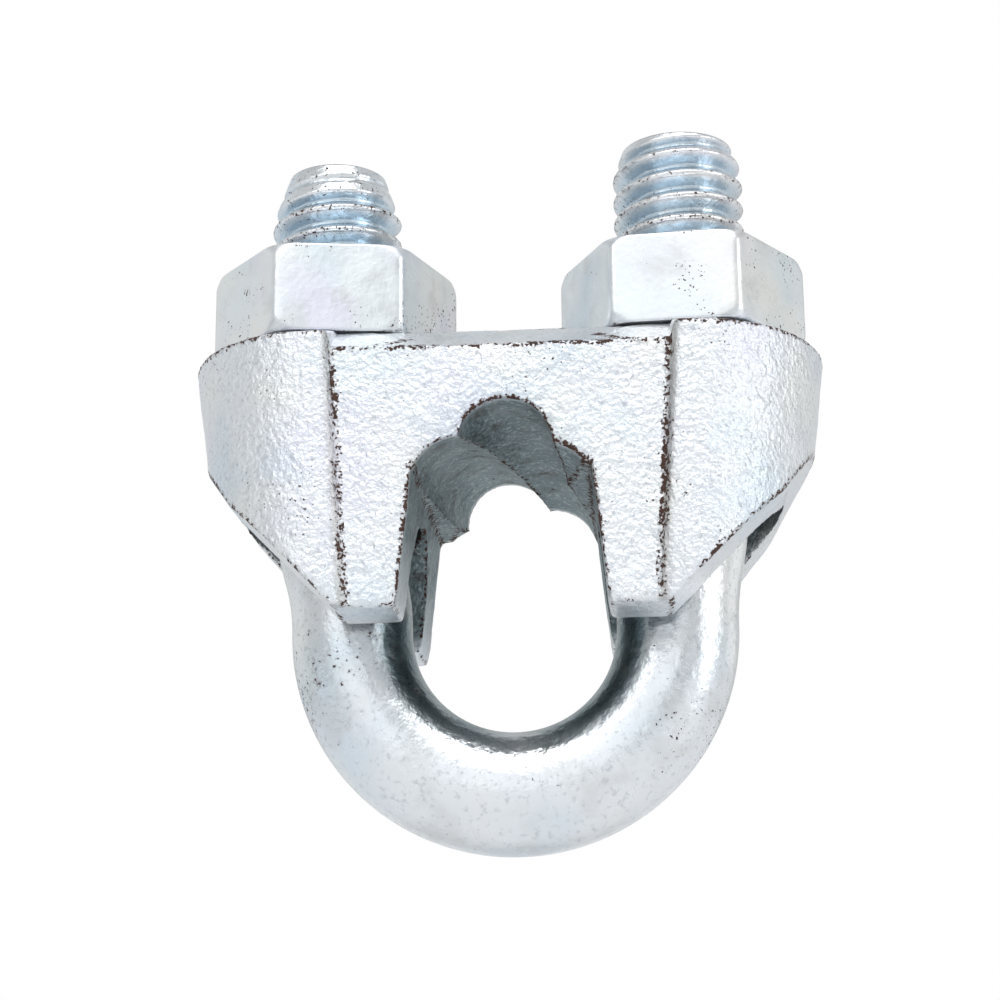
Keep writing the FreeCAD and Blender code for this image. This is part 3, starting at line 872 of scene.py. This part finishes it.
def bar_line():
    """Stations down the left leg, round the bend and up the right leg.

    Each station is the bar's centre, the direction out of the bend in the
    XZ plane, and its radius.
    """

    def leg(name, sign):
        """One leg from its tip down, and its step in to the bend."""
        data = LEGS[name]
        axis, top = data["axis"], data["top"]
        made = []
        count = round((top - THREAD_FOOT) / THREAD_STEP)
        for i in range(count + 1):
            z = top + (THREAD_FOOT - top) * i / count
            lead = BAR_RADIUS + min(z - THREAD_FOOT, CREST - BAR_RADIUS)
            tip = data["end"] + (top - z) * (CREST - data["end"]) / data["point"]
            made.append(((axis, z), (sign, 0.0), min(lead, tip, CREST)))
        # the S-shaped step in to the bend, as two equal arcs
        side = sign * BEND_RADIUS + BEND_SHIFT
        step = abs(axis) - abs(side)
        run = THREAD_FOOT + BEND_DROP
        arc = (run**2 + step**2) / (4 * step)
        half = 2 * math.atan2(step, run)
        count = max(4, round(run / 2 / BAR_STEP))
        for i in range(1, count + 1):
            t = half * i / count
            x = axis - sign * arc * (1 - math.cos(t))
            z = THREAD_FOOT - arc * math.sin(t)
            made.append(((x, z), (sign * math.cos(t), -math.sin(t)), BAR_RADIUS))
        for i in range(1, count + 1):
            t = half * (1 - i / count)
            x = side + sign * arc * (1 - math.cos(t))
            z = -BEND_DROP + arc * math.sin(t)
            made.append(((x, z), (sign * math.cos(t), -math.sin(t)), BAR_RADIUS))
        return made

    stations = leg("left", -1)
    count = round(math.pi * BEND_RADIUS / BAR_STEP)
    for i in range(1, count):
        t = math.pi + math.pi * i / count
        out = (math.cos(t), math.sin(t))
        centre = (BEND_SHIFT + BEND_RADIUS * out[0], -BEND_DROP + BEND_RADIUS * out[1])
        stations.append((centre, out, BAR_RADIUS))
    return stations + leg("right", 1)[::-1]


def bar_points(stations):
    """The bar's skin, with its two ends closed by flat discs."""
    angles = [2 * math.pi * k / AROUND_BAR for k in range(AROUND_BAR)]
    points = []

    def ring(station, share):
        """Points round a station, at a share of its radius."""
        (x, z), (out_x, out_z), radius = station
        for a in angles:
            c, s = radius * share * math.cos(a), radius * share * math.sin(a)
            points.append((x + out_x * c, s, z + out_z * c))

    for share in END_SHARES:
        ring(stations[0], share)
    for station in stations:
        ring(station, 1.0)
    for share in reversed(END_SHARES):
        ring(stations[-1], share)
    rings = len(stations) + 2 * len(END_SHARES)
    faces = ring_faces(rings, AROUND_BAR, closed=False)
    faces.append(tuple(range(AROUND_BAR)))
    faces.append(tuple((rings - 1) * AROUND_BAR + k for k in range(AROUND_BAR)))
    return points, faces


BEND = Vector((BEND_SHIFT, 0.0, -BEND_DROP))
CREST_WEAR = 0.12 * MM
# brown specks also gather on the bend's left flank: where, in degrees round
# the bend, how far to either side, and how thickly
FLANK_MIDDLE = -165.0
FLANK_REACH = 55.0
FLANK_WEAR = 0.75
# painted shade darkens the bend's inner side, from this share of the bar's
# radius inwards, sooner towards the legs than at the bottom
SHADE_START = 0.8
SHADE_SOONER = 0.5
SHADE_FADE = 0.3
SHADE_FALL = 4.0 * MM


def round_bend(point):
    """A point's direction from the bend's centre, in degrees up from +X."""
    return math.degrees(math.atan2(point.z - BEND.z, point.x - BEND.x))


def bar_wear(point):
    """How worn the bar is at a point, 0 to 1."""
    if point.z < SEAT:
        away = abs(round_bend(point) - FLANK_MIDDLE) / FLANK_REACH
        return FLANK_WEAR * max(0.0, 1.0 - away)
    axis = LEFT_AXIS if point.x < 0 else RIGHT_AXIS
    radius = math.hypot(point.x - axis, point.y)
    return 1.0 if point.z > SEAT and radius > CREST - CREST_WEAR else 0.0


def bar_shade(point):
    """How far a point lies in the painted shade on the bend's inner side, 0 to 1."""
    across = math.hypot(point.x - BEND.x, min(0.0, point.z - BEND.z))
    inward = (BEND_RADIUS - across) / BAR_RADIUS
    sooner = SHADE_SOONER * abs(math.cos(math.radians(round_bend(point))))
    share = clipped((inward - SHADE_START + sooner) / SHADE_FADE)
    return share * clipped((SEAT / 2 - point.z) / SHADE_FALL)


def u_bolt(thread, material):
    """One bent bar, threaded at both ends."""
    obj = mesh_object("u_bolt_bar", *bar_points(bar_line()), material)
    turn_outwards(obj)
    for leg in LEGS.values():
        add_tree(
            obj,
            thread,
            axis_x=leg["axis"],
            start=THREAD_FOOT + PITCH,
            first_height=THREAD_FOOT + 1.2 * PITCH,
            material=material,
        )
    obj = applied(obj, "u_bolt_bar")
    set_float(obj, "worn", [bar_wear(v.co) for v in obj.data.vertices])
    # inner: where the painted shade on the bend's inner side goes
    set_float(obj, "inner", [bar_shade(v.co) for v in obj.data.vertices])
    return obj


# -------------------------------------------------------------------- nuts
AROUND_NUT = 192
HEX_SHARPNESS = 70.0
FACE_SHARES = (0.0, 0.3, 0.6, 0.85, 0.96, 1.0)
SIDE_ROWS = 44
SINK = NUT_ROOT + 0.1 * MM
BEVEL_LINE = 0.12 * MM
BEVEL_WEAR = 0.6
GROOVE_TURNS = 5.5


def hex_radius(angle, turn):
    """Distance to the side of a hexagon whose corners are a little rounded."""
    total = 0.0
    for side in range(6):
        c = math.cos(angle - math.radians(turn + 30 + 60 * side))
        if c > 0:
            total += c**HEX_SHARPNESS
    return NUT_APOTHEM / total ** (1 / HEX_SHARPNESS)


def soft_least(a, b, reach):
    """The smaller of two lengths, rounded where they are nearly the same."""
    mixed = max(reach - abs(a - b), 0.0) / reach
    return min(a, b) - mixed * mixed * reach / 4


def nut_outline():
    """The nut's section, from the bore's foot round the outside and back.

    Each row is (height, radius, share): a share of the way from that radius
    out to the nut's side.
    """
    low, high = SEAT, SEAT + NUT_HEIGHT
    rows = [(low, SINK, share) for share in FACE_SHARES]
    for i in range(1, SIDE_ROWS):
        t = (1 - math.cos(math.pi * i / SIDE_ROWS)) / 2
        rows.append((low + (high - low) * t, SINK, 1.0))
    rows += [(high, SINK, share) for share in reversed(FACE_SHARES)]
    count = round(NUT_HEIGHT / THREAD_STEP)
    for i in range(1, count):
        z = high + (low - high) * i / count
        end = min(high - z, z - low)
        rows.append((z, max(NUT_BORE, SINK - end), 0.0))
    return rows


def nut_side(side, end):
    """Radius of the nut's outside at a distance from its nearer end."""
    cone = NUT_FACE + end / NUT_BEVEL
    short = max(NUT_ROUNDING - end, 0.0)
    rounding = NUT_ROUNDING - math.sqrt(NUT_ROUNDING**2 - short**2)
    return soft_least(side, cone, NUT_BLEND) - rounding


def nut(name, thread, material):
    """A hex nut with bevelled corners and a thread in its bore."""
    axis = LEGS[name]["axis"]
    turn = NUT_TURN[name]
    high = SEAT + NUT_HEIGHT
    angles = [2 * math.pi * k / AROUND_NUT for k in range(AROUND_NUT)]
    sides = [hex_radius(a, turn) for a in angles]
    rows = nut_outline()
    points, edge = [], []
    for z, radius, share in rows:
        end = min(z - SEAT, high - z)
        for a, side in zip(angles, sides):
            r = radius + (nut_side(side, end) - radius) * share
            line = abs(side - NUT_FACE - end / NUT_BEVEL) < BEVEL_LINE
            edge.append(BEVEL_WEAR if line and share == 1.0 else 0.0)
            points.append((axis + r * math.cos(a), r * math.sin(a), z))
    faces = ring_faces(len(rows), AROUND_NUT, closed=True)
    obj = mesh_object(f"nut_{name}_hex", points, faces, material)
    set_float(obj, "edge", edge)
    turn_outwards(obj)
    wide = PITCH / 4 + THREAD_PLAY / math.cos(math.radians(30))
    add_tree(
        obj,
        thread,
        axis_x=axis,
        side=-1.0,
        root=NUT_ROOT,
        half_floor=wide - (NUT_ROOT - PITCH_LINE) * FLANK,
        start=THREAD_FOOT + GROOVE_TURNS * PITCH,
        reach=NUT_REACH,
        material=material,
    )
    return applied(obj, f"nut_{name}_hex")


# ------------------------------------------------------------- the product
thread = screw_thread_tree()
saddle, edges = casting("saddle", casting_finish())
round_tips(saddle)
straighten_bevel(saddle)
slope_walls(saddle)
wear_edges(saddle, edges + panel_top_line())
# how far inside the channel or a pocket, for the painted shade there
set_float(saddle, "inside", [inside_share(v.co) for v in saddle.data.vertices])
bolt = u_bolt(thread, bar_finish())
satin = nut_finish()
nuts = {name: nut(name, thread, satin) for name in LEGS}

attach(saddle, "saddle")
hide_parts("saddle")
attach(bolt, "u_bolt")
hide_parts("u_bolt")
for name, piece in nuts.items():
    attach(piece, f"nut_{name}")
    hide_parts(f"nut_{name}")

# ---------------------------------------------------------- camera and set
AZIMUTH, ELEVATION, ROLL = (math.radians(a) for a in (3.58, -15.10, -0.58))
TARGET = Vector((-0.619, 0.0, 1.568)) * MM
DISTANCE = 119.15 * MM
LENS = 73.0
SENSOR = 36.0
CLIP_NEAR, CLIP_FAR = 0.005, 10.0


def aimed(azimuth, elevation):
    """The direction at an azimuth from the front and an elevation, in radians."""
    flat = math.cos(elevation)
    return Vector((math.sin(azimuth) * flat, -math.cos(azimuth) * flat, math.sin(elevation)))


def camera():
    """The main camera: below the clip, looking up into the rope channel."""
    back = aimed(AZIMUTH, ELEVATION)
    right = Vector((math.cos(AZIMUTH), math.sin(AZIMUTH), 0.0))
    up = back.cross(right)
    turned = math.cos(ROLL) * right + math.sin(ROLL) * up
    up = math.cos(ROLL) * up - math.sin(ROLL) * right
    data = bpy.data.cameras.new("camera")
    data.lens = LENS
    data.sensor_width = SENSOR
    data.clip_start, data.clip_end = CLIP_NEAR, CLIP_FAR
    obj = bpy.data.objects.new("camera", data)
    bpy.context.scene.collection.objects.link(obj)
    frame_axes = Matrix((turned, up, back)).transposed().to_4x4()
    obj.matrix_world = Matrix.Translation(TARGET + back * DISTANCE) @ frame_axes
    bpy.context.scene.camera = obj


# soft lights that face the origin, each with its azimuth and elevation in
# degrees, its distance, width and height in metres, and its power in watts
SOFTBOXES = {
    "key": (12, 58, 0.45, 0.35, 0.2, 0.5),
    "right": (66, 12, 0.45, 0.08, 0.3, 0.2),
    "left": (-40, 35, 0.5, 0.12, 0.3, 0.16),
}


def softbox(name, azimuth, elevation, away, width, height, power):
    """One of the soft lights."""
    data = bpy.data.lights.new(name, "AREA")
    data.shape = "RECTANGLE"
    data.size, data.size_y = width, height
    data.energy = power
    obj = bpy.data.objects.new(name, data)
    bpy.context.scene.collection.objects.link(obj)
    place = aimed(math.radians(azimuth), math.radians(elevation)) * away
    turn = (-place).to_track_quat("-Z", "Y").to_matrix().to_4x4()
    obj.matrix_world = Matrix.Translation(place) @ turn


# what the metal mirrors: patches of a soft tent, brighter or darker than the
# rest, each with its azimuth, elevation, reach in degrees and strength
TENT = 0.66
PATCHES = [
    (-14, 15, 36, 0.6),
    (8, 58, 32, 1.2),
    (66, 12, 25, 1.2),
    (120, -5, 32, 0.4),
    (-120, 15, 40, 0.18),
    (180, 50, 40, 0.1),
    (180, 90, 35, -0.3),
    (0, -75, 60, -0.15),
]


def surroundings():
    """A white studio for the eye, and a soft tent for the metal to mirror."""
    world = bpy.data.worlds.new("studio")
    bpy.context.scene.world = world
    world.use_nodes = True
    tree = world.node_tree
    tree.nodes.clear()
    coordinates = tree.nodes.new("ShaderNodeTexCoord")
    w = Nodes(tree, coordinates.outputs["Generated"])
    level = TENT
    for *angles, strength in PATCHES:
        azimuth, elevation, reach = (math.radians(a) for a in angles)
        facing = w.node("ShaderNodeVectorMath", operation="DOT_PRODUCT")
        w.feed(facing.inputs[0], w.place)
        w.feed(facing.inputs[1], aimed(azimuth, elevation))
        patch = w.range(facing.outputs["Value"], math.cos(reach), 1.0)
        level = w.math("MULTIPLY_ADD", patch, strength, level)
    mirrored = w.node("ShaderNodeBackground")
    w.feed(mirrored.inputs["Color"], TENT_COLOUR)
    w.feed(mirrored.inputs["Strength"], level)
    seen = w.node("ShaderNodeBackground")
    w.feed(seen.inputs["Color"], WHITE)
    path = w.node("ShaderNodeLightPath")
    mix = w.node("ShaderNodeMixShader")
    w.feed(mix.inputs[0], path.outputs["Is Camera Ray"])
    w.feed(mix.inputs[1], mirrored.outputs[0])
    w.feed(mix.inputs[2], seen.outputs[0])
    w.feed(w.node("ShaderNodeOutputWorld").inputs["Surface"], mix.outputs[0])


FLOOR_LEVEL = -40.0 * MM
FLOOR_REACH = 2.0


def floor():
    """A pale floor, well below the clip, which in use hangs on its rope."""
    corners = ((-1, -1), (1, -1), (1, 1), (-1, 1))
    points = [(x * FLOOR_REACH, y * FLOOR_REACH, FLOOR_LEVEL) for x, y in corners]
    finish = plain_finish("pale floor", FLOOR_GREY, 0.6)
    obj = mesh_object("floor", points, [(0, 1, 2, 3)], finish, smooth=False)


camera()
surroundings()
floor()
for name, values in SOFTBOXES.items():
    softbox(name, *values)
bpy.context.scene.view_settings.view_transform = "Standard"
